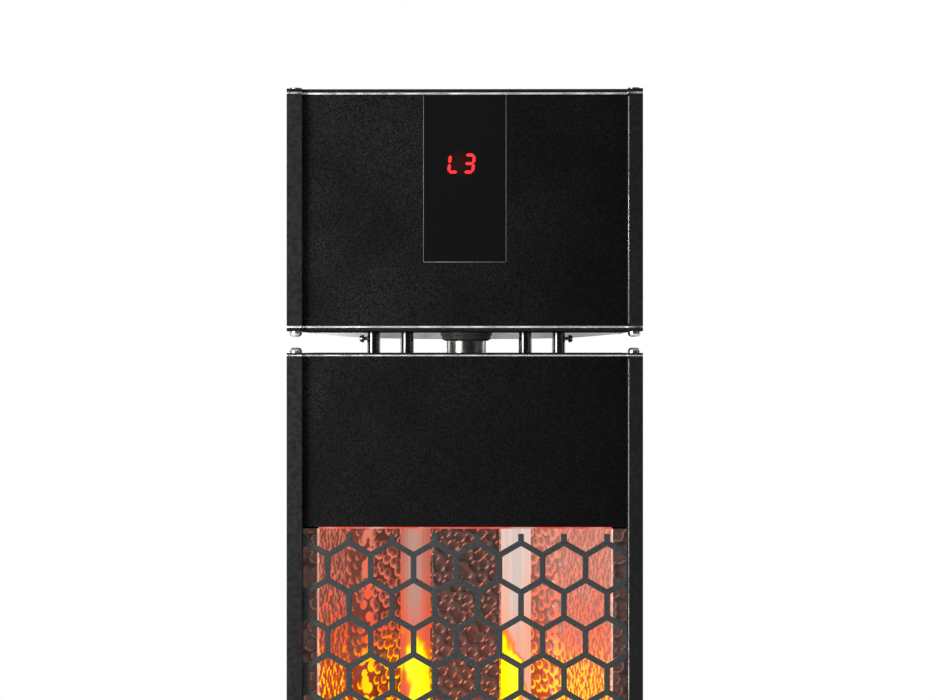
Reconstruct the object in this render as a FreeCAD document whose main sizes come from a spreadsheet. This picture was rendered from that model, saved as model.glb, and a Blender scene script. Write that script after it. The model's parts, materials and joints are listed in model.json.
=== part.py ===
import FreeCAD, Part
import math
import os
import re
import Sketcher

# Outdoor heater: a square tower on a weighted base, with a control head held above
# the body on four rods and a steel conduit. Millimetres, +Z up, the front faces -Y,
# the origin is the middle of the footprint on the ground.

doc = FreeCAD.newDocument("outdoor_heater")
sheet = doc.addObject("Spreadsheet::Sheet", "dims")

SIZES = {
    # tower
    "tower_width": 253.2, "tower_top": 1000, "post_width": 11, "post_slot_depth": 2.7,
    "panel_thick": 1.2, "panel_recess": 5.7, "slot_clear": 0.1, "plate_recess": 4.5,
    "screw_inset": 6, "core_radius": 2.1,
    # base
    "base_width": 300, "base_thick": 8, "base_rear": 136, "base_corner": 22,
    "foot_height": 12, "foot_radius": 15, "foot_inset": 30,
    "wheel_radius": 25, "wheel_width": 17, "wheel_lift": 2, "axle_radius": 4,
    "wheel_inner": 131, "wheel_clear": 0.25, "bracket_thick": 2.5, "tab_hole": 2.6,
    # body
    "body_bottom": 20, "body_top": 812, "body_plate": 1.2, "body_trim": 1.1,
    "floor_plate": 2.4, "window_top": 688, "window_bottom": 209,
    "side_vent_half": 45, "side_vent_pitch": 9, "side_vent_high": 3.5,
    "rear_vent_half": 70, "rear_vent_pitch": 12, "rear_vent_high": 4,
    # hexagonal grille
    "grille_thick": 1.5, "grille_top": 683, "hex_pitch": 30.65, "hex_strut": 4.1,
    "hex_row_a_x": -113.15, "hex_row_a_z": 659, "hex_row_pairs": 9,
    # fire chamber
    "sheet_thick": 1, "flange_inner": 106, "flange_y": -108, "wing_x": 49, "wing_y": -40,
    "column_half": 26, "column_y": -76,
    "tube_x": 37.3, "tube_y": -58, "tube_radius": 11, "tube_wall": 1.5, "cap_length": 16,
    "element_radius": 2.2, "element_coil": 6.5,
    # flame unit
    "flame_y": -72, "flame_z": 160, "spindle_radius": 5, "spindle_half": 84,
    "vane_radius": 19, "vane_thick": 0.8, "board_thick": 1.6,
    # head and its supports
    "head_bottom": 827.4, "head_plate": 2.4, "head_trim": 1.4,
    "rod_radius": 5, "rod_inner_x": 45.1, "rod_outer_x": 70.6, "rod_y": -14,
    "pipe_radius": 15, "pipe_wall": 2, "pipe_length": 80, "pipe_below": 32,
    "nut_radius": 19.8, "inner_nut_radius": 26, "inner_nut_thick": 8,
    "pan_rear": 112, "pan_deep": 110, "pan_wall": 1,
    "display_half": 29.9, "display_low": 876.3, "display_thick": 2.5,
    "digit_height": 14.2, "digit_width": 8.3, "digit_bar": 2.1, "digit_pitch": 10.9,
    "digit_x": -12.6, "digit_z": 939.9, "digit_slant": 0.1,
    # fasteners
    "screw_head": 4.5, "screw_head_high": 2.8, "screw_shank": 2, "screw_length": 12,
    "gap_screw_high": 3.8, "top_screw_high": 1.2,
    # rear fittings
    "handle_z": 560, "handle_half": 62, "handle_out": 28, "handle_bar": 9, "handle_high": 16,
    "handle_bend": 6, "handle_ease": 2,
    "rocker_z": 96, "rocker_x": -60, "rocker_half_wide": 9.5, "rocker_half_high": 13,
    "gland_z": 96, "gland_x": 62, "gland_bore": 4.2, "gland_radius": 10,
}

for row, (alias, value) in enumerate(SIZES.items(), 1):
    sheet.set(f"A{row}", alias)
    sheet.set(f"B{row}", str(value))
    sheet.setAlias(f"B{row}", alias)
doc.recompute()

nodes = {}
HALF = "tower_width/2"
FACE = "(tower_width/2-panel_recess)"
SCREW_SPOT = "(tower_width/2-screw_inset)"
SIGNS = {"left": "-", "right": ""}
ENDS = {"front": "-", "rear": ""}


# ---------------------------------------------------------------- helpers

def formula(text):
    """Turn the names in a formula into references to the sheet's cells."""
    named = lambda found: "dims." + found.group() if found.group() in SIZES else found.group()
    return re.sub(r"[a-z][a-z0-9_]*", named, str(text))


def bind(thing, prop, text):
    thing.setExpression(prop, formula(text))


def place(thing, x=0, y=0, z=0, rotation=None):
    """Put a piece at a point given by formulas, turned by a fixed rotation."""
    thing.Placement = FreeCAD.Placement(FreeCAD.Vector(), rotation or FreeCAD.Rotation())
    for axis, text in zip("xyz", (x, y, z)):
        bind(thing, f"Placement.Base.{axis}", text)
    return thing


def turned(axis, degrees):
    return FreeCAD.Rotation(FreeCAD.Vector(*axis), degrees)


ALONG = {"x": turned((0, 1, 0), 90), "y": turned((1, 0, 0), -90), "z": FreeCAD.Rotation()}
UPSIDE_DOWN = turned((1, 0, 0), 180)


def keep(name, thing):
    """Register a finished sub-part under the name of its node."""
    thing.Label = name
    nodes[name] = thing
    return thing


def box(name, x, y, z):
    """A box between two formulas on each axis."""
    block = doc.addObject("Part::Box", name)
    for side, (low, high) in zip(("Length", "Width", "Height"), (x, y, z)):
        bind(block, side, f"({high})-({low})")
    return place(block, x[0], y[0], z[0])


def cylinder(name, axis, start, radius, length):
    """A round bar from a start point along an axis."""
    bar = doc.addObject("Part::Cylinder", name)
    bind(bar, "Radius", radius)
    bind(bar, "Height", length)
    return place(bar, *start, ALONG[axis])


def fuse(name, parts):
    whole = doc.addObject("Part::MultiFuse", name)
    whole.Shapes = parts
    return whole


def cut(name, base, tools):
    rest = doc.addObject("Part::Cut", name)
    rest.Base = base
    rest.Tool = tools[0] if len(tools) == 1 else fuse(name + "_tools", tools)
    return rest


def group(name, parts):
    """Separate solids that share one node."""
    together = doc.addObject("Part::Compound", name)
    together.Links = parts
    return together


def new_body(name):
    return doc.addObject("PartDesign::Body", name)


def new_sketch(body, name, role, offset="0"):
    sketch = body.newObject("Sketcher::SketchObject", name)
    plane = next(part for part in body.Origin.OriginFeatures if part.Role == role)
    sketch.AttachmentSupport = (plane, [""])
    sketch.MapMode = "FlatFace"
    bind(sketch, "AttachmentOffset.Base.z", offset)
    return sketch


def draw_outline(sketch, points):
    """A closed outline whose corners are bound to formulas."""
    count = len(points)
    first = sketch.GeometryCount
    ring = [FreeCAD.Vector(9 * math.cos(math.tau * k / count), 9 * math.sin(math.tau * k / count), 0)
            for k in range(count)]
    for k in range(count):
        sketch.addGeometry(Part.LineSegment(ring[k], ring[(k + 1) % count]))
    for k in range(count):
        sketch.addConstraint(Sketcher.Constraint("Coincident", first + k, 2, first + (k + 1) % count, 1))
    for k, point in enumerate(points):
        for kind, text in zip(("DistanceX", "DistanceY"), point):
            number = sketch.addConstraint(Sketcher.Constraint(kind, -1, 1, first + k, 1, 1.0))
            bind(sketch, f"Constraints[{number}]", text)


def draw_circle(sketch, x, y, radius):
    circle = sketch.addGeometry(Part.Circle(FreeCAD.Vector(1, 1, 0), FreeCAD.Vector(0, 0, 1), 1))
    for kind, text in (("DistanceX", x), ("DistanceY", y)):
        number = sketch.addConstraint(Sketcher.Constraint(kind, -1, 1, circle, 3, 1.0))
        bind(sketch, f"Constraints[{number}]", text)
    number = sketch.addConstraint(Sketcher.Constraint("Radius", circle, 1.0))
    bind(sketch, f"Constraints[{number}]", radius)


def pad(name, role, outlines, length, offset="0", circles=()):
    """A body padded from outlines and round holes, starting at an offset from its plane."""
    body = new_body(name)
    sketch = new_sketch(body, name + "_profile", role, offset)
    for points in outlines:
        draw_outline(sketch, points)
    for x, y, radius in circles:
        draw_circle(sketch, x, y, radius)
    feature = body.newObject("PartDesign::Pad", name + "_pad")
    feature.Profile = sketch
    bind(feature, "Length", length)
    return body


def revolve(name, points):
    """A body turned about its own Z axis from (radius, height) points."""
    body = new_body(name)
    sketch = new_sketch(body, name + "_profile", "XZ_Plane")
    draw_outline(sketch, points)
    feature = body.newObject("PartDesign::Revolution", name + "_turned")
    feature.Profile = sketch
    feature.ReferenceAxis = (sketch, ["V_Axis"])
    feature.Angle = 360
    return body


def round_edges(body, name, radius, wanted):
    """Round the edges of a body whose bounding boxes are wanted."""
    doc.recompute()
    edges = [f"Edge{k + 1}" for k, edge in enumerate(body.Shape.Edges) if wanted(edge.BoundBox)]
    last = body.Tip
    rounded = body.newObject("PartDesign::Fillet", name)
    rounded.Base = (last, edges)
    bind(rounded, "Radius", radius)
    body.Tip = rounded
    doc.recompute()


def mirrored_points(points):
    """Points on the +X side, continued round the -X side in reverse."""
    return points + [(f"-({x})", y) for x, y in reversed(points)]


def screw(name, x, y, z, rotation=None, head="screw_head", high="screw_head_high",
          shank="screw_shank", length="screw_length"):
    """A pan head screw: the underside of its head is at the given point, the shank points down."""
    body = revolve(name, [
        ("0", f"-({length})"), (shank, f"-({length})"), (shank, "0"), (head, "0"),
        (head, f"{high}*0.45"), (f"{head}*0.86", f"{high}*0.8"), (f"{head}*0.5", high), ("0", high)])
    recess = new_sketch(body, name + "_recess", "XY_Plane", high)
    wide, deep = f"{head}*0.5", f"{head}*0.11"
    arm = [(wide, f"-{deep}"), (wide, deep), (deep, deep), (deep, wide)]
    draw_outline(recess, arm + [(f"-{x}", y) for x, y in reversed(arm[1:])] +
                 [(f"-{x}", f"-{y}") for x, y in arm[1:]] + [(deep, f"-{wide}"), (deep, f"-{deep}")])
    doc.recompute()
    pocket = body.newObject("PartDesign::Pocket", name + "_cross")
    pocket.Profile = recess
    bind(pocket, "Length", f"{high}*0.45")
    return place(body, x, y, z, rotation)


def corner_screws(name, z, high, rotation=None):
    """Two screws, one into the core of each front post."""
    return [screw(f"{name}_{side}", sign + SCREW_SPOT, "-" + SCREW_SPOT, z, rotation, high=high)
            for side, sign in SIGNS.items()]


def x_range(sign, low, high):
    """The X range of a piece on the left or the right side."""
    return (f"-({high})", f"-({low})") if sign == "-" else (low, high)


def bar_start(sign, low, length, y, z):
    """The start point of a bar that runs along +X on the left or the right side."""
    return (f"-({low})-{length}" if sign == "-" else low, y, z)


# ---------------------------------------------------------------- base

TAB_SCREW_Y = "(base_width/2-wheel_radius-45)"


def make_base():
    edge = "base_width/2"
    clip = "base_corner*0.29"
    notch_x = "wheel_inner-1.5"
    notch_y = "base_width/2-wheel_radius*2-3"
    right = [(f"{edge}-base_corner", f"-{edge}"), (f"{edge}-{clip}", f"-{edge}+{clip}"),
             (edge, f"-{edge}+base_corner"), (edge, notch_y), (notch_x, notch_y), (notch_x, "base_rear")]
    inset = "base_width/2-foot_inset"
    rear_foot_y = "base_rear-foot_inset+4"
    spots = [(f"{sign}({inset})", f"-({inset})") for sign in SIGNS.values()]
    spots += [(f"{sign}({inset}-20)", rear_foot_y) for sign in SIGNS.values()]
    holes = [(x, y, "screw_shank+0.1") for x, y in spots]
    holes += [(f"{sign}(wheel_inner+8)", TAB_SCREW_Y, "tab_hole") for sign in SIGNS.values()]
    keep("base_plate", pad("base_plate", "XY_Plane", [mirrored_points(right)], "base_thick",
                           "foot_height", circles=holes))
    feet, bolts = [], []
    for k, (x, y) in enumerate(spots):
        foot = revolve(f"rubber_foot_{k}", [
            ("3", "foot_height"), ("foot_radius", "foot_height"), ("foot_radius*0.86", "0"),
            ("7", "0"), ("7", "foot_height*0.5"), ("3", "foot_height*0.5")])
        feet.append(place(foot, x, y, "0"))
        bolts.append(screw(f"foot_bolt_{k}", x, y, "foot_height*0.5", UPSIDE_DOWN, head="5",
                           length="foot_height*0.5+base_thick-2"))
    keep("rubber_feet", group("rubber_feet", feet))
    return bolts


def make_wheels():
    centre_y = "base_width/2-wheel_radius"
    centre_z = "wheel_radius+wheel_lift"
    brackets, axles, bolts = [], [], []
    for side, sign in SIGNS.items():
        turn = turned((0, 1, 0), 90 if side == "right" else -90)
        wheel = revolve(f"wheel_{side}", [
            ("axle_radius+wheel_clear", "0"), ("9", "0"), ("9", "3"), ("wheel_radius*0.66", "4.5"),
            ("wheel_radius*0.72", "0.8"), ("wheel_radius*0.9", "0"), ("wheel_radius", "3"),
            ("wheel_radius", "wheel_width-3"), ("wheel_radius*0.9", "wheel_width"),
            ("wheel_radius*0.72", "wheel_width-0.8"), ("wheel_radius*0.66", "wheel_width-4.5"),
            ("9", "wheel_width-3"), ("9", "wheel_width"), ("axle_radius+wheel_clear", "wheel_width")])
        holes = new_sketch(wheel, f"wheel_{side}_holes", "XY_Plane", "0")
        draw_circle(holes, "wheel_radius*0.5", "0", "2.6")
        doc.recompute()
        drilled = wheel.newObject("PartDesign::Pocket", f"wheel_{side}_hole")
        drilled.Profile = holes
        drilled.Midplane = True
        bind(drilled, "Length", "wheel_width*3")
        doc.recompute()
        ring = wheel.newObject("PartDesign::PolarPattern", f"wheel_{side}_ring")
        ring.Originals = [drilled]
        ring.Axis = (holes, ["N_Axis"])
        ring.Occurrences = 6
        wheel.Tip = ring
        place(wheel, f"{sign}(wheel_inner)", centre_y, centre_z, turn)
        keep(f"wheel_{side}", wheel)

        upright = box(f"bracket_upright_{side}",
                      x_range(sign, "wheel_inner-4", "wheel_inner-4+bracket_thick"),
                      (f"{centre_y}-60", f"{centre_y}+9"), ("body_bottom", f"{centre_z}+12"))
        tab = box(f"bracket_tab_{side}",
                  x_range(sign, "wheel_inner-4+bracket_thick", "base_width/2-3"),
                  (f"{centre_y}-60", f"{centre_y}-wheel_radius-4"),
                  ("body_bottom", "body_bottom+bracket_thick"))
        hole = cylinder(f"bracket_hole_{side}", "x", bar_start(sign, "wheel_inner-8", 30, centre_y, centre_z),
                        "axle_radius", "30")
        screw_x = f"{sign}(wheel_inner+8)"
        drill = cylinder(f"bracket_drill_{side}", "z", (screw_x, TAB_SCREW_Y, "0"), "tab_hole", "60")
        angle = fuse(f"bracket_angle_{side}", [upright, tab])
        brackets.append(cut(f"wheel_bracket_{side}", angle, [hole, drill]))
        bolts.append(screw(f"bracket_bolt_{side}", screw_x, TAB_SCREW_Y,
                           "body_bottom+bracket_thick", shank="2.5", length="base_thick"))
        pin = revolve(f"axle_{side}", [
            ("0", "-4"), ("axle_radius", "-4"), ("axle_radius", "wheel_width+0.3"),
            ("7", "wheel_width+0.3"), ("7", "wheel_width+1.2"), ("5", "wheel_width+2"),
            ("0", "wheel_width+2")])
        axles.append(place(pin, f"{sign}(wheel_inner)", centre_y, centre_z, turn))
    keep("wheel_brackets", group("wheel_brackets", brackets))
    keep("wheel_axles", group("wheel_axles", axles))
    return bolts


# ---------------------------------------------------------------- frame of posts and plates

def post_profile(sx, sy):
    """A square corner extrusion with a slot for each of the two panels that meet it."""
    outer = HALF
    inner = "(tower_width/2-post_width)"
    slot_out = f"({FACE}+slot_clear)"
    slot_in = f"({FACE}-grille_thick-slot_clear)"
    deep = f"({inner}+post_slot_depth)"
    corner = [(inner, inner), (inner, slot_in), (deep, slot_in), (deep, slot_out), (inner, slot_out),
              (inner, outer), (outer, outer), (outer, inner), (slot_out, inner), (slot_out, deep),
              (slot_in, deep), (slot_in, inner)]
    return [(f"{sx}{x}", f"{sy}{y}") for x, y in corner]


def make_posts(prefix, low, high):
    posts = [pad(f"{prefix}_post_{ends}_{side}", "XY_Plane", [post_profile(sx, sy)],
                 f"({high})-({low})", low, circles=[(sx + SCREW_SPOT, sy + SCREW_SPOT, "core_radius")])
             for ends, sy in ENDS.items() for side, sx in SIGNS.items()]
    keep(f"{prefix}_posts", group(f"{prefix}_posts", posts))


def plate_outline():
    """A square plate whose four sides step back between the corner posts."""
    near = f"({HALF}-plate_recess)"
    ear = f"({HALF}-post_width)"
    quarter = [(ear, near), (ear, HALF), (HALF, HALF), (HALF, ear), (near, ear)]
    return (quarter +
            [(x, f"-{y}") for x, y in reversed(quarter)] +
            [(f"-{x}", f"-{y}") for x, y in quarter] +
            [(f"-{x}", y) for x, y in reversed(quarter)])


def make_plate(name, low, thick, bore=None):
    """An end plate or trim with clearance holes for the corner screws and the conduit."""
    circles = [(sx + SCREW_SPOT, sy + SCREW_SPOT, "core_radius+0.1")
               for sx in SIGNS.values() for sy in SIGNS.values()]
    if bore:
        circles.append(("0", "0", bore))
    keep(name, pad(name, "XY_Plane", [plate_outline()], thick, low, circles=circles))


def make_frame():
    make_plate("body_bottom_plate", "body_bottom", "floor_plate")
    make_posts("body", "body_bottom+floor_plate", "body_top-body_plate-body_trim")
    make_plate("body_top_trim", "body_top-body_plate-body_trim", "body_trim", "pipe_radius+0.1")
    make_plate("body_top_plate", "body_top-body_plate", "body_plate", "pipe_radius+0.1")
    make_plate("head_bottom_plate", "head_bottom", "head_plate", "pipe_radius+0.1")
    make_plate("head_bottom_trim", "head_bottom+head_plate", "head_trim", "pipe_radius+0.1")
    make_posts("head", "head_bottom+head_plate+head_trim", "tower_top-head_plate-head_trim")
    make_plate("head_top_trim", "tower_top-head_plate-head_trim", "head_trim")
    make_plate("head_top_plate", "tower_top-head_plate", "head_plate")
    keep("corner_screws", group(
        "corner_screws", corner_screws("body_top_screw", "body_top", "gap_screw_high") +
        corner_screws("head_bottom_screw", "head_bottom", "gap_screw_high", UPSIDE_DOWN) +
        corner_screws("head_top_screw", "tower_top", "top_screw_high")))


# ---------------------------------------------------------------- panels

PANEL_HALF = "(tower_width/2-post_width+post_slot_depth-0.3)"


def wall(name, where, z, half=PANEL_HALF):
    """A flat sheet in the post slots of one side of the tower."""
    across = (f"-{half}", half)
    near = (f"-{FACE}", f"-{FACE}+panel_thick")
    far = (f"{FACE}-panel_thick", FACE)
    x, y = {"front": (across, near), "rear": (across, far),
            "left": (near, across), "right": (far, across)}[where]
    return box(name, x, y, z)


def make_body_panels():
    low = "body_bottom+floor_plate"
    high = "body_top-body_plate-body_trim"
    keep("front_top_panel", wall("front_top_panel", "front", ("window_top", high)))
    keep("front_lower_panel", wall("front_lower_panel", "front", (low, "window_bottom")))
    for side in SIGNS:
        sheet_side = wall(f"side_sheet_{side}", side, (low, high))
        vents = [wall(f"side_vent_{side}_{bank}_{k}", side,
                      (f"{z}+{k}*side_vent_pitch", f"{z}+{k}*side_vent_pitch+side_vent_high"),
                      "side_vent_half")
                 for bank, z in enumerate(("body_bottom+40", "body_top-114")) for k in range(7)]
        keep(f"side_panel_{side}", cut(f"side_panel_{side}", sheet_side, vents))
    back = wall("rear_sheet", "rear", (low, high))
    holes = [wall(f"rear_vent_{bank}_{k}", "rear",
                  (f"{z}+{k}*rear_vent_pitch", f"{z}+{k}*rear_vent_pitch+rear_vent_high"), "rear_vent_half")
             for bank, z in enumerate(("250", "660")) for k in range(8)]
    holes.append(box("rocker_cutout", ("rocker_x-rocker_half_wide-0.8", "rocker_x+rocker_half_wide+0.8"),
                     ("100", "140"), ("rocker_z-rocker_half_high-0.8", "rocker_z+rocker_half_high+0.8")))
    holes.append(cylinder("gland_cutout", "y", ("gland_x", "100", "gland_z"), "gland_radius*0.7", "40"))
    for side, sign in SIGNS.items():
        holes.append(cylinder(f"handle_cutout_{side}", "y",
                              (f"{sign}(handle_half-handle_bar/2)", "100", "handle_z+handle_high/2"),
                              "screw_shank+0.2", "40"))
    keep("rear_panel", cut("rear_panel", back, holes))


def make_head_panels():
    low = "head_bottom+head_plate+head_trim"
    high = "tower_top-head_plate-head_trim"
    front = wall("head_front_sheet", "front", (low, high))
    window = box("head_window_cutout", ("-display_half", "display_half"), (f"-{HALF}", "-100"),
                 ("display_low", "tower_top"))
    keep("head_front_panel", cut("head_front_panel", front, [window]))
    for where in ("left", "right", "rear"):
        keep(f"head_{where}_panel", wall(f"head_{where}_panel", where, (low, high)))


# ---------------------------------------------------------------- hexagonal grille

def make_grille():
    """A steel sheet with rows of pointed hexagonal openings, open above its top row."""
    radius = "((hex_pitch-hex_strut)/sqrt(3))"
    half_flat = "((hex_pitch-hex_strut)/2)"
    body = new_body("hex_grille")
    sheet_sketch = new_sketch(body, "grille_outline", "XZ_Plane", f"{FACE}-grille_thick")
    draw_outline(sheet_sketch, [(f"-{PANEL_HALF}", "window_bottom"), (PANEL_HALF, "window_bottom"),
                                (PANEL_HALF, "grille_top"), (f"-{PANEL_HALF}", "grille_top")])
    blank = body.newObject("PartDesign::Pad", "grille_blank")
    blank.Profile = sheet_sketch
    bind(blank, "Length", "grille_thick")
    doc.recompute()

    openings = new_sketch(body, "grille_openings", "XZ_Plane", f"{FACE}-grille_thick")
    for row, count in ((0, 8), (1, 9)):
        for k in range(count):
            x = f"hex_row_a_x+hex_pitch*({k}-{row}/2)"
            z = f"hex_row_a_z+hex_pitch*sqrt(3)/2*{row}"
            if row:
                points = [(f"{x}-{half_flat}", f"{z}-{radius}/2"), (x, f"{z}-{radius}"),
                          (f"{x}+{half_flat}", f"{z}-{radius}/2"),
                          (f"{x}+{half_flat}", f"{z}+{radius}/2"), (x, f"{z}+{radius}"),
                          (f"{x}-{half_flat}", f"{z}+{radius}/2")]
            else:
                points = [(x, f"{z}+{radius}"), (f"{x}+{half_flat}", f"{z}+{radius}/2"),
                          (f"{x}+{half_flat}", f"{z}-{radius}/2"), (x, f"{z}-{radius}"),
                          (f"{x}-{half_flat}", f"{z}-{radius}/2"),
                          (f"{x}-{half_flat}", f"{z}+{radius}/2")]
            draw_outline(openings, points)
    pocket = body.newObject("PartDesign::Pocket", "grille_pocket")
    pocket.Profile = openings
    pocket.Type = "ThroughAll"
    pocket.Midplane = True
    doc.recompute()
    rows = body.newObject("PartDesign::LinearPattern", "grille_rows")
    rows.Originals = [pocket]
    rows.Direction = (openings, ["V_Axis"])
    rows.Reversed = True
    rows.Occurrences = int(SIZES["hex_row_pairs"])
    bind(rows, "Length", "hex_pitch*sqrt(3)*(hex_row_pairs-1)")
    body.Tip = rows
    doc.recompute()
    keep("hex_grille", body)


# ---------------------------------------------------------------- fire chamber

CHAMBER = ("window_bottom+2", "window_top-2.5")


def make_reflectors():
    """Bent hammered sheets: a flange behind the grille's edge, then a wing running inwards."""
    height = f"({CHAMBER[1]})-({CHAMBER[0]})"
    for side, sign in SIGNS.items():
        front = [("117", "flange_y"), ("flange_inner", "flange_y"), ("wing_x", "wing_y"), ("1", "wing_y")]
        back = [("1", "wing_y+sheet_thick"), ("wing_x+0.4", "wing_y+sheet_thick"),
                ("flange_inner+0.5", "flange_y+sheet_thick"), ("117", "flange_y+sheet_thick")]
        outline = [(f"{sign}({x})", y) for x, y in front + back]
        keep(f"reflector_{side}", pad(f"reflector_{side}", "XY_Plane", [outline], height, CHAMBER[0]))
    outer = [("column_half", "wing_y-0.2"), ("column_half", "column_y"), ("-column_half", "column_y"),
             ("-column_half", "wing_y-0.2"), ("-column_half+sheet_thick", "wing_y-0.2"),
             ("-column_half+sheet_thick", "column_y+sheet_thick"),
             ("column_half-sheet_thick", "column_y+sheet_thick"), ("column_half-sheet_thick", "wing_y-0.2")]
    keep("reflector_center", pad("reflector_center", "XY_Plane", [outer], height, CHAMBER[0]))


def make_tubes():
    """Two frosted quartz tubes with a carbon element in each, held by ceramic caps."""
    reach = "(cap_length/2+0.5)"
    low = f"({CHAMBER[0]}-2-{reach})"
    high = f"({CHAMBER[1]}+1.4+{reach})"
    caps, elements = [], []
    for side, sign in SIGNS.items():
        x = f"{sign}tube_x"
        tube = revolve(f"quartz_tube_{side}", [
            ("tube_radius-tube_wall", "0"), ("tube_radius", "0"),
            ("tube_radius", f"{high}-{low}"), ("tube_radius-tube_wall", f"{high}-{low}")])
        keep(f"quartz_tube_{side}", place(tube, x, "tube_y", low))
        for end, z, flip in (("low", f"{low}-cap_length/2", None),
                             ("high", f"{high}+cap_length/2", UPSIDE_DOWN)):
            cap = revolve(f"cap_{side}_{end}", [
                ("0", "0"), ("tube_radius+2.5", "0"), ("tube_radius+2.5", "cap_length"),
                ("tube_radius+0.1", "cap_length"), ("tube_radius+0.1", "cap_length/2"),
                ("element_radius", "cap_length/2"), ("element_radius", "3"), ("0", "3")])
            caps.append(place(cap, x, "tube_y", z, flip))
        length = f"({high}-{low}+cap_length-6)"
        rod = revolve(f"element_{side}", [
            ("0", "0"), ("element_radius", "0"), ("element_radius", "24"), ("element_coil", "32"),
            ("element_coil", f"{length}-32"), ("element_radius", f"{length}-24"),
            ("element_radius", length), ("0", length)])
        elements.append(place(rod, x, "tube_y", f"{low}-cap_length/2+3"))
    keep("ceramic_caps", group("ceramic_caps", caps))
    keep("heating_elements", group("heating_elements", elements))


def make_chamber_plates():
    """The floor and the roof of the fire chamber; the roof's front edge shows under the panel."""
    half = ("-flange_inner+0.5", "flange_inner-0.5")
    deep = ("flange_y+1.2", "wing_y+6")
    for name, low in (("chamber_floor", "window_bottom+0.5"), ("chamber_roof", CHAMBER[1])):
        plate = box(f"{name}_sheet", half, deep, (low, f"{low}+1.4"))
        holes = [cylinder(f"{name}_hole_{side}", "z", (f"{sign}tube_x", "tube_y", f"{low}-5"),
                          "tube_radius+0.4", "12") for side, sign in SIGNS.items()]
        keep(name, cut(name, plate, holes))


# ---------------------------------------------------------------- flame unit and electrics

def make_flame_unit():
    """A turning spindle with bright vanes above a row of lamps, driven by a small motor."""
    spindle = revolve("flame_spindle", [
        ("0", "-spindle_half-8"), ("spindle_radius*0.5", "-spindle_half-8"),
        ("spindle_radius*0.5", "-spindle_half"), ("spindle_radius", "-spindle_half"),
        ("spindle_radius", "spindle_half"), ("spindle_radius*0.5", "spindle_half"),
        ("spindle_radius*0.5", "spindle_half+8"), ("0", "spindle_half+8")])
    doc.recompute()
    vane = new_sketch(spindle, "vane_profile", "XZ_Plane", "-vane_thick/2")
    for k in range(5):
        low = f"-spindle_half+8+{k}*31"
        draw_outline(vane, [("spindle_radius*0.6", low), ("vane_radius", f"{low}+6"),
                            ("vane_radius*0.8", f"{low}+24"), ("spindle_radius*0.6", f"{low}+30")])
    vanes = spindle.newObject("PartDesign::Pad", "vane_pad")
    vanes.Profile = vane
    bind(vanes, "Length", "vane_thick")
    doc.recompute()
    ring = spindle.newObject("PartDesign::PolarPattern", "vane_ring")
    ring.Originals = [vanes]
    ring.Axis = (vane, ["V_Axis"])
    ring.Occurrences = 6
    spindle.Tip = ring
    place(spindle, "0", "flame_y", "flame_z", ALONG["x"])
    keep("flame_spindle", spindle)

    brackets = []
    for side, sign in SIGNS.items():
        upright = box(f"spindle_upright_{side}", x_range(sign, "spindle_half+2", "spindle_half+4"),
                      ("flame_y-14", "flame_y+14"), ("body_bottom+floor_plate", "flame_z+14"))
        foot = box(f"spindle_foot_{side}", x_range(sign, "spindle_half+4", "spindle_half+22"),
                   ("flame_y-14", "flame_y+14"), ("body_bottom+floor_plate", "body_bottom+floor_plate+2"))
        bearing = cylinder(f"bearing_bore_{side}", "x",
                           bar_start(sign, "spindle_half-4", 20, "flame_y", "flame_z"),
                           "spindle_radius*0.5+0.2", "20")
        brackets.append(cut(f"spindle_bracket_{side}",
                            fuse(f"spindle_angle_{side}", [upright, foot]), [bearing]))
    keep("spindle_brackets", group("spindle_brackets", brackets))
    can = cylinder("motor_can", "x", ("spindle_half+8.4", "flame_y", "flame_z"), "13", "14")
    ears = box("motor_ears", ("spindle_half+8.4", "spindle_half+10"), ("flame_y-21", "flame_y+21"),
               ("flame_z-5", "flame_z+5"))
    keep("spindle_motor", fuse("spindle_motor", [can, ears]))

    board = box("lamp_board", ("-80", "80"), ("flame_y+24", "flame_y+24+board_thick"),
                ("flame_z-20", "flame_z+20"))
    lamps = [cylinder(f"lamp_{k}", "y", (f"{-66 + 22 * k}", "flame_y+22", "flame_z"), "2.5", "2.5")
             for k in range(7)]
    keep("flame_led_board", fuse("flame_led_board", [board] + lamps))


def make_electrics():
    low = "body_bottom+floor_plate"
    board = box("power_board_sheet", ("-70", "40"), ("20", "90"), (f"{low}+8", f"{low}+8+board_thick"))
    parts = [box("relay_one", ("-60", "-40"), ("30", "46"), (f"{low}+9", f"{low}+25")),
             box("relay_two", ("-34", "-14"), ("30", "46"), (f"{low}+9", f"{low}+25")),
             cylinder("capacitor", "z", ("10", "60", f"{low}+9"), "8", "22"),
             box("transformer", ("-60", "-26"), ("56", "84"), (f"{low}+9", f"{low}+33"))]
    keep("power_board", fuse("power_board", [board] + parts))
    block = box("terminal_body", ("62", "98"), ("40", "62"), (low, f"{low}+20"))
    wells = [box(f"terminal_well_{k}", (f"{65 + 11 * k}", f"{73 + 11 * k}"), ("44", "58"),
                 (f"{low}+12", f"{low}+30")) for k in range(3)]
    keep("terminal_block", cut("terminal_block", block, wells))
    keep("tilt_switch", fuse("tilt_switch", [
        box("tilt_case", ("-105", "-80"), ("30", "60"), (low, f"{low}+22")),
        box("tilt_ear", ("-112", "-74"), ("38", "52"), (low, f"{low}+2"))]))
    roof = f"{CHAMBER[1]}+1.4"
    disc = cylinder("cutout_disc", "z", ("0", "tube_y", f"{roof}+1.5"), "8", "6")
    base = box("cutout_strap", ("-16", "16"), ("tube_y-7", "tube_y+7"), (roof, f"{roof}+1.5"))
    keep("thermal_cutout", fuse("thermal_cutout", [disc, base]))


# ---------------------------------------------------------------- head supports

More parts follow.
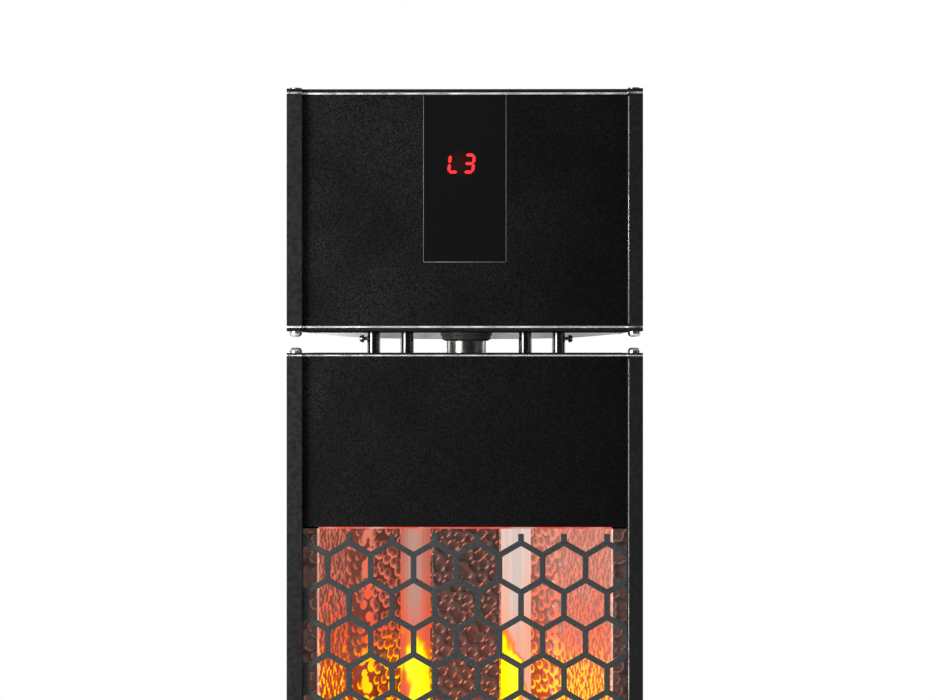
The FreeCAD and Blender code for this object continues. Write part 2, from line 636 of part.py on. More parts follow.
def make_supports():
    rods, screws = [], []
    for sign in SIGNS.values():
        for x in ("rod_inner_x", "rod_outer_x"):
            rods.append(cylinder(f"rod_{len(rods)}", "z", (f"{sign}{x}", "rod_y", "body_top"),
                                 "rod_radius", "head_bottom-body_top"))
        turn = turned((0, 1, 0), 90 if sign == "" else -90)
        screws.append(screw(f"rod_screw_{len(screws)}", f"{sign}(rod_outer_x+rod_radius+2.4)", "rod_y",
                            "head_bottom-4.6", turn, head="2.8", high="3.3", shank="1.3", length="2.3"))
    keep("spacer_rods", group("spacer_rods", rods))
    keep("rod_cross_screws", group("rod_cross_screws", screws))
    pipe = revolve("conduit_tube", [
        ("pipe_radius-pipe_wall", "0"), ("pipe_radius", "0"), ("pipe_radius", "pipe_length"),
        ("pipe_radius-pipe_wall", "pipe_length")])
    place(pipe, "0", "0", "body_top-pipe_below")
    keep("conduit_tube", pipe)
    nut = revolve("conduit_lock_nut", [
        ("pipe_radius+0.05", "0"), ("nut_radius", "0"), ("nut_radius", "-2.2"),
        ("nut_radius-1.3", "-2.5"), ("nut_radius-1.3", "-2.9"), ("nut_radius-0.8", "-3.1"),
        ("nut_radius-0.9", "-4.8"), ("pipe_radius+1.5", "-6.2"), ("pipe_radius+0.05", "-6.4")])
    place(nut, "0", "0", "head_bottom")
    keep("conduit_lock_nut", nut)
    rings = []
    for name, z in (("head_side", "head_bottom+head_plate+head_trim"),
                    ("body_side", "body_top-body_plate-body_trim-inner_nut_thick")):
        points = [(f"inner_nut_radius*cos({60 * k})", f"inner_nut_radius*sin({60 * k})") for k in range(6)]
        rings.append(pad(f"inner_nut_{name}", "XY_Plane", [points], "inner_nut_thick", z,
                         circles=[("0", "0", "pipe_radius+0.05")]))
    keep("conduit_inner_nuts", group("conduit_inner_nuts", rings))


# half width and depth below the head at each bend of the deflector, from its edge inwards
PAN_BENDS = (("121", "0.3"), ("105", "1.8"), ("83", "3.5"), ("40", "4.2"))
PAN_MIDDLE = "4.4"


def pan_outline(bends, raised):
    """The dished section of the deflector, or of its inside when raised."""
    top = f"head_bottom+{raised}"
    lower = [(x, f"{top}-{drop}") for x, drop in bends]
    return ([(f"-{bends[0][0]}", top), (bends[0][0], top)] + lower +
            [("0", f"{top}-{PAN_MIDDLE}")] + [(f"-{x}", z) for x, z in reversed(lower)])


def make_deflector():
    """A dished pan under the rear half of the head, with a half collar round the lock nut."""
    dish = pad("deflector_dish", "XZ_Plane", [pan_outline(PAN_BENDS, "0")], "pan_deep", "-pan_rear")
    inside = pad("deflector_inside", "XZ_Plane", [pan_outline(PAN_BENDS[1:], "pan_wall")],
                 "pan_deep-2*pan_wall", "-pan_rear+pan_wall")
    notch = cylinder("deflector_notch", "z", ("0", "0", "head_bottom-20"), "nut_radius+0.8", "40")
    pan = cut("deflector_pan", dish, [inside, notch])
    ring = cylinder("deflector_ring", "z", ("0", "0", "head_bottom-3.3"), "nut_radius+1.8", "3.3")
    bore = cylinder("deflector_bore", "z", ("0", "0", "head_bottom-20"), "nut_radius+0.8", "40")
    front = box("deflector_front", ("-30", "30"), ("-30", "2"), ("head_bottom-10", "head_bottom+10"))
    keep("heat_deflector", fuse("heat_deflector", [pan, cut("deflector_collar", ring, [bore, front])]))


# ---------------------------------------------------------------- display

# the lit bars of each digit, clockwise from the top, g in the middle
LIT = {"l": "def", "three": "abcdg"}


def segment_outline(letter, x, z):
    """One bar of a seven segment digit, leaning a little to the right."""
    wide, tall, bar = "digit_width", "digit_height", "digit_bar"
    spots = {"a": (0.5, 1, 0), "g": (0.5, 0.5, 0), "d": (0.5, 0, 0),
             "f": (0, 0.75, 1), "b": (1, 0.75, 1), "e": (0, 0.25, 1), "c": (1, 0.25, 1)}
    u, v, upright = spots[letter]
    centre_x = f"{u}*({wide}-{bar})+{bar}/2"
    centre_z = f"{v}*({tall}-{bar})+{bar}/2"
    span = f"(({tall}-{bar})/2-0.4)" if upright else f"({wide}-{bar}-0.4)"
    shape = [(f"-{span}/2", "0"), (f"-{span}/2+{bar}/2", f"{bar}/2"), (f"{span}/2-{bar}/2", f"{bar}/2"),
             (f"{span}/2", "0"), (f"{span}/2-{bar}/2", f"-{bar}/2"), (f"-{span}/2+{bar}/2", f"-{bar}/2")]
    if upright:
        shape = [(b, a) for a, b in shape]
    return [(f"{x}+{centre_x}+{a}+digit_slant*({centre_z}+{b})", f"{z}+{centre_z}+{b}") for a, b in shape]


def make_display():
    glass = box("display_window", ("-display_half+0.3", "display_half-0.3"),
                (f"-{FACE}", f"-{FACE}+display_thick"),
                ("display_low+0.3", "tower_top-head_plate-head_trim-0.1"))
    keep("display_window", glass)
    outlines = []
    for k, letters in enumerate(LIT.values()):
        x = f"digit_x+digit_pitch*{k}"
        outlines += [segment_outline(letter, x, "digit_z") for letter in letters]
    lit = pad("display_digits", "XZ_Plane", outlines, "0.15", FACE)
    keep("display_digits", lit)
    board = box("display_board_sheet", ("-40", "40"),
                (f"-{FACE}+display_thick+4", f"-{FACE}+display_thick+4+board_thick"),
                ("display_low-6", "tower_top-14"))
    module = box("digit_module", ("-14", "14"),
                 (f"-{FACE}+display_thick+0.2", f"-{FACE}+display_thick+4.1"),
                 ("digit_z-4", "digit_z+digit_height+4"))
    keep("display_board", fuse("display_board", [board, module]))
    control = box("control_board_sheet", ("-60", "60"), ("30", "100"),
                  ("head_bottom+14", "head_bottom+14+board_thick"))
    chips = [box("control_chip", ("-20", "0"), ("50", "70"), ("head_bottom+15", "head_bottom+19")),
             box("control_plug", ("30", "50"), ("40", "50"), ("head_bottom+15", "head_bottom+25"))]
    keep("control_board", fuse("control_board", [control] + chips))


# ---------------------------------------------------------------- rear fittings

def make_rear_fittings():
    """The carrying handle, the power switch and the cable gland on the back."""
    right = [("handle_half", FACE), ("handle_half", f"{FACE}+handle_out")]
    inner = [("handle_half-handle_bar", f"{FACE}+handle_out-handle_bar"), ("handle_half-handle_bar", FACE)]
    outline = right + [(f"-({x})", y) for x, y in reversed(right)]
    outline += [(f"-({x})", y) for x, y in reversed(inner)] + inner
    grip = pad("rear_handle", "XY_Plane", [outline], "handle_high", "handle_z")
    rear = SIZES["tower_width"] / 2
    round_edges(grip, "handle_bent", "handle_bend", lambda box: box.ZLength > 1 and box.YMin > rear)
    round_edges(grip, "handle_eased", "handle_ease", lambda box: box.ZLength < 0.01 and box.YMax > rear)
    keep("rear_handle", grip)
    bolts = [screw(f"handle_bolt_{k}", f"{sign}(handle_half-handle_bar/2)", f"{FACE}-panel_thick",
                   "handle_z+handle_high/2", turned((1, 0, 0), 90), shank="2", length="1.2")
             for k, sign in enumerate(SIGNS.values())]
    keep("handle_screws", group("handle_screws", bolts))

    x = ("rocker_x-rocker_half_wide", "rocker_x+rocker_half_wide")
    z = ("rocker_z-rocker_half_high", "rocker_z+rocker_half_high")
    shell = box("switch_shell", x, (f"{FACE}-22", FACE), z)
    rim = box("switch_rim", (f"{x[0]}-2.5", f"{x[1]}+2.5"), (FACE, f"{FACE}+2"),
              (f"{z[0]}-2.5", f"{z[1]}+2.5"))
    well = box("switch_well", (f"{x[0]}+1.5", f"{x[1]}-1.5"), (f"{FACE}-12", f"{FACE}+10"),
               (f"{z[0]}+1.5", f"{z[1]}-1.5"))
    keep("switch_housing", cut("switch_housing", fuse("switch_frame", [shell, rim]), [well]))
    pivot_y = f"({FACE}-3)"
    tall = "(rocker_half_high-2.6)"
    side = [(f"{pivot_y}-4", "rocker_z-5"), (f"{pivot_y}+1", f"rocker_z-{tall}"),
            (f"{pivot_y}+5.5", f"rocker_z-{tall}"), (f"{pivot_y}+4.6", "rocker_z"),
            (f"{pivot_y}+5.5", f"rocker_z+{tall}"), (f"{pivot_y}+1", f"rocker_z+{tall}"),
            (f"{pivot_y}-4", "rocker_z+5")]
    key = pad("switch_rocker", "YZ_Plane", [side], "rocker_half_wide*2-4", "rocker_x-rocker_half_wide+2")
    keep("switch_rocker", key)

    gland = revolve("cord_gland", [
        ("gland_bore", "-16"), ("gland_radius*0.68", "-16"), ("gland_radius*0.68", "0"),
        ("gland_radius", "0"), ("gland_radius", "5"), ("gland_radius*0.85", "6"),
        ("gland_radius*0.85", "15"), ("gland_radius*0.6", "20"), ("gland_bore", "20")])
    place(gland, "gland_x", FACE, "gland_z", ALONG["y"])
    keep("cord_gland", gland)
    lock = [(f"14*cos({60 * k})+gland_x", f"14*sin({60 * k})+gland_z") for k in range(6)]
    keep("gland_nut", pad("gland_nut", "XZ_Plane", [lock], "5", f"-{FACE}+panel_thick",
                          circles=[("gland_x", "gland_z", "gland_radius*0.68+0.05")]))


base_bolts = make_base() + make_wheels()
keep("base_screws", group("base_screws", base_bolts))
make_frame()
make_body_panels()
make_head_panels()
make_grille()
make_reflectors()
make_tubes()
make_chamber_plates()
make_flame_unit()
make_electrics()
make_supports()
make_deflector()
make_display()
make_rear_fittings()
doc.recompute()

# ---------------------------------------------------------------- check and write

for thing in doc.Objects:
    if "Invalid" in thing.State or "Error" in thing.State:
        raise RuntimeError(f"{thing.Label} failed: {thing.State}")
for name, thing in nodes.items():
    if thing.Shape.isNull() or not thing.Shape.isValid() or not thing.Shape.Solids:
        raise RuntimeError(f"{name} has no valid shape")

os.makedirs("parts", exist_ok=True)
for name, thing in nodes.items():
    thing.Shape.exportStep(f"parts/{name}.step")
whole = Part.makeCompound([thing.Shape for thing in nodes.values()]).BoundBox
print(len(nodes), "nodes", [round(v, 2) for v in (whole.XMin, whole.XMax, whole.YMin, whole.YMax,
                                                  whole.ZMin, whole.ZMax)])
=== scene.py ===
import json
import math

import bmesh
import bpy
import numpy as np
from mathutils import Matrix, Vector


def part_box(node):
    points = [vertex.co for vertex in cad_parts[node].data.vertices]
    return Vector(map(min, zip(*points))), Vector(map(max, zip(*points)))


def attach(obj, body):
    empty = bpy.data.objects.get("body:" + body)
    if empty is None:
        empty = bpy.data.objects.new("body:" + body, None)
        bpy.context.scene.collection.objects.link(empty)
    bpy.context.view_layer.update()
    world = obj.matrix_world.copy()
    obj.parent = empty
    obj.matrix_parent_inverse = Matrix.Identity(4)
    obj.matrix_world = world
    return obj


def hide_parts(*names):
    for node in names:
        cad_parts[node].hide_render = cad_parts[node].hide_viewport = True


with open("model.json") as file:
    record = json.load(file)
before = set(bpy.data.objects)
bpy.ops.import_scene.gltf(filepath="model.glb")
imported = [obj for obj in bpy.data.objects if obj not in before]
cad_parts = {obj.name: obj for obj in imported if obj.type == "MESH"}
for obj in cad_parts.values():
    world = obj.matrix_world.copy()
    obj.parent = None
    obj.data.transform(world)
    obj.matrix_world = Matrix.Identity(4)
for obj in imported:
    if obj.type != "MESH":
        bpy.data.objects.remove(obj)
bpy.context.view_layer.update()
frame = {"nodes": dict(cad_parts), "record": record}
nodes = frame["nodes"]
MM = 0.001


# ---------------------------------------------------------------- node helpers

class Shader:
    """A Principled material and short ways to add nodes to it."""

    def __init__(self, name, color, rough=0.5, metal=0.0, **sockets):
        self.material = bpy.data.materials.new(name)
        self.material.use_nodes = True
        self.tree = self.material.node_tree
        self.main = self.tree.nodes["Principled BSDF"]
        self.main.inputs["Base Color"].default_value = (*color, 1)
        self.main.inputs["Roughness"].default_value = rough
        self.main.inputs["Metallic"].default_value = metal
        for socket, value in sockets.items():
            self.main.inputs[socket.replace("_", " ")].default_value = value
        self.place = self.add("ShaderNodeTexCoord").outputs["Object"]

    def add(self, kind, links=None, **settings):
        node = self.tree.nodes.new(kind)
        for key, value in settings.items():
            setattr(node, key, value)
        for key, value in (links or {}).items():
            self.put(node.inputs[key], value)
        return node

    def put(self, socket, value):
        if isinstance(value, bpy.types.NodeSocket):
            self.tree.links.new(value, socket)
        else:
            socket.default_value = value

    def math(self, operation, a, b=0.0, clamp=False):
        node = self.add("ShaderNodeMath", {0: a, 1: b}, operation=operation)
        node.use_clamp = clamp
        return node.outputs[0]

    def ramp(self, value, low, high, to_low=0.0, to_high=1.0, smooth=True):
        """A value from low to high becomes one from to_low to to_high, and stays within them."""
        node = self.add("ShaderNodeMapRange",
                        {"Value": value, "From Min": low, "From Max": high,
                         "To Min": to_low, "To Max": to_high})
        node.interpolation_type = "SMOOTHSTEP" if smooth else "LINEAR"
        return node.outputs["Result"]

    def mix(self, amount, a, b):
        node = self.add("ShaderNodeMix", data_type="RGBA")
        self.put(node.inputs[0], amount)
        self.put(node.inputs[6], a if isinstance(a, bpy.types.NodeSocket) else (*a, 1))
        self.put(node.inputs[7], b if isinstance(b, bpy.types.NodeSocket) else (*b, 1))
        return node.outputs[2]

    def stretched(self, scale):
        return self.add("ShaderNodeMapping", {"Vector": self.place, "Scale": scale}).outputs[0]

    def noise(self, scale, detail=2.0, place=None, rough=0.5):
        return self.add("ShaderNodeTexNoise", {"Vector": place or self.place, "Scale": scale,
                                               "Detail": detail, "Roughness": rough}).outputs[0]

    def cells(self, scale, feature="F1"):
        return self.add("ShaderNodeTexVoronoi", {"Vector": self.place, "Scale": scale},
                        feature=feature).outputs["Distance"]

    def axes(self):
        return self.add("ShaderNodeSeparateXYZ", {0: self.place}).outputs

    def color(self, value):
        self.put(self.main.inputs["Base Color"], value)

    def rough(self, value):
        self.put(self.main.inputs["Roughness"], value)

    def bump(self, height, distance):
        node = self.add("ShaderNodeBump", {"Height": height, "Distance": distance})
        self.put(self.main.inputs["Normal"], node.outputs[0])

    def glow(self, color, strength):
        self.put(self.main.inputs["Emission Color"], color)
        self.put(self.main.inputs["Emission Strength"], strength)


def shaded(color, share):
    """A colour made darker or lighter, with no channel above 1."""
    return [min(1.0, channel * share) for channel in color]


# ---------------------------------------------------------------- materials
# Lengths and bump depths are in metres, and noise scales are in waves a metre.

def powder_coat(name, color, fleck, rough=0.5, scale=900.0, depth=0.00012, painted_light_falloff=False):
    """Textured powder coat: hard grains and pale flecks, which may thin out to the right and downwards as
    painted shade, the way light falls off away from the upper left.
    """
    coat = Shader(name, color, rough, Specular_IOR_Level=0.08)
    grain = coat.noise(scale, 3.0, rough=0.65)
    slow = coat.noise(9.0, 3.0)
    shade = coat.mix(coat.ramp(slow, 0.3, 0.7), shaded(color, 0.85), shaded(color, 1.12))
    shade = coat.mix(coat.ramp(grain, 0.36, 0.5), shaded(color, 0.3), shade)
    fleck_patches_and_painted_falloff = coat.ramp(coat.noise(16.0, 2.0), 0.3, 0.7, 0.4 if painted_light_falloff else 0.8, 1.0)
    # painted shade: fewer pale flecks to the right and lower down, where the light falls off
    if painted_light_falloff:
        x, y, z = coat.axes()
        fleck_patches_and_painted_falloff = coat.math("MULTIPLY", fleck_patches_and_painted_falloff, coat.ramp(x, -0.11, 0.11, 1.0, 0.16, False))
        fleck_patches_and_painted_falloff = coat.math("MULTIPLY", fleck_patches_and_painted_falloff, coat.ramp(z, 0.70, 0.84, 0.6, 1.0))
    sparkle = coat.ramp(coat.noise(scale * 1.3, 3.0, rough=0.7), 0.42, 0.72, smooth=False)
    coat.color(coat.mix(coat.math("MULTIPLY", sparkle, fleck_patches_and_painted_falloff), shade, fleck))
    coat.rough(coat.ramp(coat.noise(scale * 0.6), 0.3, 0.7, rough - 0.1, rough + 0.12))
    coat.bump(grain, depth)
    return coat.material


def satin_paint(name, color, rough):
    """Smooth satin paint with a faint orange peel and slow changes of shade."""
    paint = Shader(name, color, rough, Specular_IOR_Level=0.3)
    paint.rough(paint.ramp(paint.noise(260.0, 3.0), 0.3, 0.7, rough - 0.06, rough + 0.08))
    paint.bump(paint.noise(900.0), 0.00003)
    shade = paint.ramp(paint.noise(14.0), 0.3, 0.7)
    paint.color(paint.mix(shade, shaded(color, 0.88), shaded(color, 1.1)))
    return paint.material


def gloss_enamel(name, color, rough, coat=0.6):
    """Hard gloss paint under a clear coat, with a slight waviness."""
    paint = Shader(name, color, rough, Coat_Weight=coat, Coat_Roughness=0.05, Coat_IOR=1.8,
                   Specular_IOR_Level=0.9)
    paint.rough(paint.ramp(paint.noise(60.0), 0.3, 0.7, rough, rough + 0.06))
    paint.bump(paint.noise(120.0), 0.00002)
    return paint.material


def brushed_metal(name, color, along, rough):
    """Metal brushed along one axis, 0 for X to 2 for Z, with long fine scratches."""
    metal = Shader(name, color, rough, 1.0)
    squeeze = [1.0 if k == along else 40.0 for k in range(3)]
    lines = metal.noise(60.0, 4.0, metal.stretched(squeeze))
    metal.color(metal.mix(metal.ramp(lines, 0.3, 0.7), shaded(color, 0.72), shaded(color, 1.15)))
    metal.rough(metal.ramp(lines, 0.3, 0.7, rough - 0.06, rough + 0.1))
    metal.bump(lines, 0.000008)
    return metal.material


def polished_metal(name, color, rough):
    """Bright plated metal with faint smears in its gloss."""
    metal = Shader(name, color, rough, 1.0)
    smear = metal.noise(90.0, 4.0)
    metal.rough(metal.ramp(smear, 0.3, 0.75, rough * 0.7, rough * 1.9))
    metal.color(metal.mix(metal.ramp(metal.noise(30.0), 0.3, 0.7), shaded(color, 0.92), color))
    metal.bump(metal.noise(700.0), 0.00001)
    return metal.material


def moulded(name, color, rough=0.45, scale=2200.0):
    """Moulded plastic or ceramic with a fine pebbled skin."""
    plastic = Shader(name, color, rough)
    plastic.bump(plastic.cells(scale), 0.00004)
    plastic.rough(plastic.ramp(plastic.noise(70.0), 0.3, 0.7, rough - 0.07, rough + 0.08))
    plastic.color(plastic.mix(plastic.ramp(plastic.noise(25.0), 0.3, 0.7),
                              shaded(color, 0.85), shaded(color, 1.15)))
    return plastic.material


# heights above the ground at which the fire's light has each colour
FIRE_PALE, FIRE_CORAL, FIRE_ORANGE, FIRE_YELLOW = 668 * MM, 628 * MM, 602 * MM, 570 * MM
FLAME_YELLOW, FLAME_ORANGE = (1.0, 0.80, 0.0), (1.0, 0.20, 0.005)
TUBE_X = 37.3 * MM


def fire_color(shader, height):
    """Dusky coral at the top of the window, then red-orange and yellow further down."""
    pale, coral = (0.66, 0.18, 0.12), (0.92, 0.10, 0.045)
    orange, yellow = (1.0, 0.10, 0.008), (1.0, 0.27, 0.004)
    tint = shader.mix(shader.ramp(height, FIRE_PALE, FIRE_CORAL), pale, coral)
    tint = shader.mix(shader.ramp(height, FIRE_CORAL, FIRE_ORANGE), tint, orange)
    return shader.mix(shader.ramp(height, FIRE_ORANGE, FIRE_YELLOW), tint, yellow)


def lit_tube(name, side, lean, flame_top, pale, edge, low_edge, dim):
    """A frosted tube: pale at the top, warmer at its edges, with a flame that licks upwards.

    side is -1 or 1, lean is how far the flame stands off the tube's middle, and dim scales the glow.
    """
    tube = Shader(name, (0.03, 0.02, 0.02), 0.5, Specular_IOR_Level=0.1)
    x, y, z = tube.axes()
    across = tube.math("ADD", x, -side * TUBE_X)
    off_middle = tube.math("ABSOLUTE", across)
    streaks = tube.noise(1.0, 2.0, tube.stretched((300.0, 300.0, 6.0)))
    bends = tube.noise(1.0, 2.0, tube.stretched((12.0, 12.0, 26.0)))
    sway = tube.ramp(bends, 0.3, 0.7, -7 * MM, 7 * MM, False)
    wobble = tube.ramp(streaks, 0.3, 0.7, -2 * MM, 2 * MM)
    rim = tube.ramp(tube.math("ADD", off_middle, wobble), 3 * MM, 8.5 * MM)
    side_tint = tube.mix(tube.ramp(z, FIRE_PALE + 12 * MM, FIRE_ORANGE + 4 * MM), edge, low_edge)
    core = tube.mix(tube.ramp(z, FIRE_CORAL + 10 * MM, FIRE_ORANGE - 12 * MM), pale, low_edge)
    tint = tube.mix(rim, core, side_tint)
    # the flame is a field that grows downwards and fades away from its swaying middle
    off_flame = tube.math("ADD", tube.math("ADD", across, -lean), sway)
    spread = tube.math("MULTIPLY", tube.math("MULTIPLY", off_flame, off_flame), 7200.0)
    climb = tube.ramp(z, flame_top + 12 * MM, flame_top - 22 * MM, -0.2, 1.1, False)
    tongues = tube.noise(1.0, 2.5, tube.stretched((75.0, 75.0, 42.0)), 0.55)
    licks = tube.ramp(tongues, 0.3, 0.7, -0.42, 0.42, False)
    field = tube.math("SUBTRACT", tube.math("ADD", climb, licks), spread)
    tint = tube.mix(tube.ramp(field, -0.1, 0.4), tint, FLAME_ORANGE)
    tint = tube.mix(tube.ramp(field, 0.25, 0.68), tint, FLAME_YELLOW)
    strength = tube.ramp(streaks, 0.3, 0.7, 0.9 * dim, 1.05 * dim)
    tube.glow(tint, tube.math("ADD", strength, tube.ramp(field, 0.3, 0.7, 0.0, 0.35)))
    tube.bump(tube.noise(500.0), 0.00003)
    return tube.material


def hammered(name, painted_glow_haze=0.0, cooler=0.0, color=(0.09, 0.07, 0.063), rough=0.36):
    """Hammered aluminium whose glow is a painted reflection of the fire; point attributes say how strong
    that painted reflection is, and how pale.

    haze gives a pale painted glow over the whole sheet, and cooler shifts the fire's colours down by a
    height.
    """
    metal = Shader(name, color, rough, 1.0)
    z = metal.axes()["Z"]
    fine = metal.noise(420.0, 3.0)
    metal.rough(metal.ramp(fine, 0.3, 0.7, rough * 0.7, rough * 1.5))
    metal.bump(fine, 0.00012)
    # the fire and pale point attributes hold the painted reflection of the fire and the painted pale
    # highlight
    fire = metal.add("ShaderNodeAttribute", attribute_name="fire").outputs["Fac"]
    pale = metal.add("ShaderNodeAttribute", attribute_name="pale").outputs["Fac"]
    flicker = metal.ramp(metal.noise(70.0, 3.0), 0.3, 0.7, -20 * MM, 20 * MM, False)
    redder = metal.ramp(fire, 0.3, 1.2, cooler + 66 * MM, cooler - 4 * MM, False)
    height = metal.math("ADD", z, metal.math("ADD", flicker, redder))
    dusky, hottest, veiled = (0.62, 0.36, 0.31), (1.0, 0.66, 0.0), (1.0, 0.57, 0.45)
    tint = metal.mix(metal.ramp(fire, 0.04, 0.16), dusky, fire_color(metal, height))
    blaze = metal.math("MULTIPLY", metal.ramp(fire, 0.9, 1.3),
                       metal.ramp(z, FIRE_ORANGE + 4 * MM, FIRE_YELLOW))
    tint = metal.mix(blaze, tint, hottest)
    painted_glow_veil = metal.ramp(z, FIRE_YELLOW, FIRE_ORANGE, painted_glow_haze * 0.3, painted_glow_haze)
    tint = metal.mix(metal.math("ADD", pale, painted_glow_veil, True), tint, veiled)
    # painted reflection: the metal glows with the fire's colours as strongly as the fire attribute says
    metal.glow(tint, metal.math("MINIMUM", fire, 1.15))
    return metal.material


def glowing_edge():
    """The chamber roof's front edge, with a painted red glow for the light from below, and paler
    stretches.
    """
    edge = Shader("chamber_edge", (0.5, 0.3, 0.28), 0.3, 1.0)
    roof_top, lit_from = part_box("chamber_roof")[1].z, -98 * MM
    x, y, z = edge.axes()
    pale = edge.ramp(edge.noise(1.0, 2.0, edge.stretched((38.0, 0.0, 0.0))), 0.45, 0.7)
    # painted light: only the roof's front face glows, not its top
    front = edge.math("MULTIPLY", edge.ramp(y, lit_from, lit_from - 3 * MM),
                      edge.ramp(z, roof_top - 0.1 * MM, roof_top - 0.3 * MM))
    edge.glow(edge.mix(pale, (0.95, 0.05, 0.02), (0.75, 0.42, 0.38)), edge.math("MULTIPLY", front, 0.85))
    return edge.material


def window_gloss():
    """Black gloss acrylic, with the digits' red light spread faintly inside it."""
    glass = Shader("display_gloss", (0.0042, 0.004, 0.0041), 0.06, Specular_IOR_Level=0.2,
                   Coat_Weight=0.12, Coat_Roughness=0.03)
    low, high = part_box("display_digits")
    centre = (low + high) / 2
    half = (high - low) / 2
    x, y, z = glass.axes()
    across = glass.math("DIVIDE", glass.math("ADD", x, -centre.x), half.x * 1.35)
    upward = glass.math("DIVIDE", glass.math("ADD", z, -centre.z), half.z * 1.5)
    reach = glass.math("SQRT", glass.math("ADD", glass.math("MULTIPLY", across, across),
                                          glass.math("MULTIPLY", upward, upward)))
    # painted light: a faint red glow in the acrylic that fades out away from the digits
    glass.glow((0.9, 0.03, 0.03, 1), glass.ramp(reach, 1.05, 0.4, 0.0, 0.02))
    glass.rough(glass.ramp(glass.noise(40.0), 0.3, 0.7, 0.04, 0.1))
    return glass.material


def lit_digit():
    """A red lamp segment, a little uneven in its light."""
    red = Shader("digit_light", (0.5, 0.01, 0.01), 0.4)
    uneven = red.ramp(red.noise(900.0), 0.35, 0.65)
    red.glow(red.mix(uneven, (1.0, 0.001, 0.01), (1.0, 0.016, 0.03)), 1.08)
    return red.material


def lit_underside():
    """Pale pressed aluminium with a painted glow that stands in for light bounced up through the gap."""
    sheet = Shader("plain_aluminium", (0.72, 0.72, 0.71), 0.45, 0.2)
    smear = sheet.noise(1.0, 3.0, sheet.stretched((18.0, 60.0, 60.0)))
    sheet.rough(sheet.ramp(smear, 0.3, 0.7, 0.35, 0.55))
    sheet.bump(sheet.noise(300.0), 0.00004)
    # painted light: a faint glow that follows the smears unevenly
    sheet.glow((0.80, 0.80, 0.79, 1), sheet.ramp(smear, 0.3, 0.7, 0.24, 0.4))
    return sheet.material


def tyre_and_hub(node):
    """Rubber outside the rim of a wheel, hard plastic inside it."""
    rim = 18 * MM
    centre = sum((Vector(corner) for corner in nodes[node].bound_box), Vector()) / 8
    wheel = Shader(f"finish_{node}", (0.02, 0.02, 0.02), 0.5)
    x, y, z = wheel.axes()
    away = [wheel.math("POWER", wheel.math("ABSOLUTE", wheel.math("ADD", axis, -middle)), 2.0)
            for axis, middle in ((y, centre.y), (z, centre.z))]
    outside = wheel.ramp(wheel.math("SQRT", wheel.math("ADD", *away)), rim - 0.2 * MM, rim + 0.2 * MM)
    dust = wheel.ramp(wheel.noise(90.0, 4.0), 0.4, 0.75)
    gum = wheel.mix(dust, (0.012, 0.012, 0.012), (0.03, 0.029, 0.028))
    wheel.color(wheel.mix(outside, (0.045, 0.046, 0.048), gum))
    wheel.rough(wheel.ramp(outside, 0.0, 1.0, 0.32, 0.75))
    wheel.bump(wheel.noise(900.0, 3.0), 0.00005)
    return wheel.material


def circuit_board():
    """Green lacquer over a net of copper tracks."""
    board = Shader("circuit_board", (0.02, 0.12, 0.05), 0.4)
    tracks = board.ramp(board.cells(380.0, "DISTANCE_TO_EDGE"), 0.02, 0.05)
    board.color(board.mix(tracks, (0.05, 0.22, 0.09), (0.015, 0.10, 0.045)))
    board.bump(tracks, 0.00005)
    return board.material


def rubber():
    """Matt black rubber with a little dust."""
    color = (0.018, 0.018, 0.019)
    gum = Shader("rubber_black", color, 0.72, Sheen_Weight=0.15)
    gum.bump(gum.noise(800.0, 3.0), 0.0001)
    dust = gum.ramp(gum.noise(60.0, 4.0), 0.45, 0.8)
    gum.color(gum.mix(dust, color, shaded(color, 2.2)))
    return gum.material


BLACK, FLECK = (0.0012, 0.0011, 0.001), (0.027, 0.025, 0.0235)
# the finish of each material slot
FINISHES = {
    "powder_black": powder_coat("powder_black", BLACK, FLECK),
    "base_paint": powder_coat("base_paint", (0.014, 0.014, 0.014), (0.045, 0.045, 0.045), 0.55, 700.0),
    "post_black": satin_paint("post_black", (0.006, 0.0058, 0.0056), 0.38),
    "grille_paint": powder_coat("grille_paint", (0.030, 0.034, 0.034), (0.052, 0.058, 0.058),
                                0.62, 1500.0, 0.00004),
    "bright_trim": polished_metal("bright_trim", (0.88, 0.91, 0.97), 0.34),
    "screw_steel": polished_metal("screw_steel", (0.66, 0.65, 0.63), 0.27),
    "steel": brushed_metal("steel", (0.66, 0.63, 0.59), 2, 0.3),
    "plain_aluminium": lit_underside(),
    "rod_black": gloss_enamel("rod_black", (0.004, 0.004, 0.004), 0.08, 1.0),
    "ceramic": moulded("ceramic", (0.72, 0.69, 0.62), 0.6, 900.0),
    "element": moulded("element", (0.25, 0.10, 0.05), 0.6, 700.0),
    "moulded_black": moulded("moulded_black", (0.02, 0.02, 0.021)),
    "rocker_black": gloss_enamel("rocker_black", (0.012, 0.012, 0.012), 0.18),
    "wheel_plastic": moulded("wheel_plastic", (0.028, 0.028, 0.029), 0.4),
    "rubber": rubber(),
    "circuit": circuit_board(),
    "window_black": window_gloss(),
    "digit_red": lit_digit(),
    "hammered_aluminium": hammered("hammered_plain"),
}
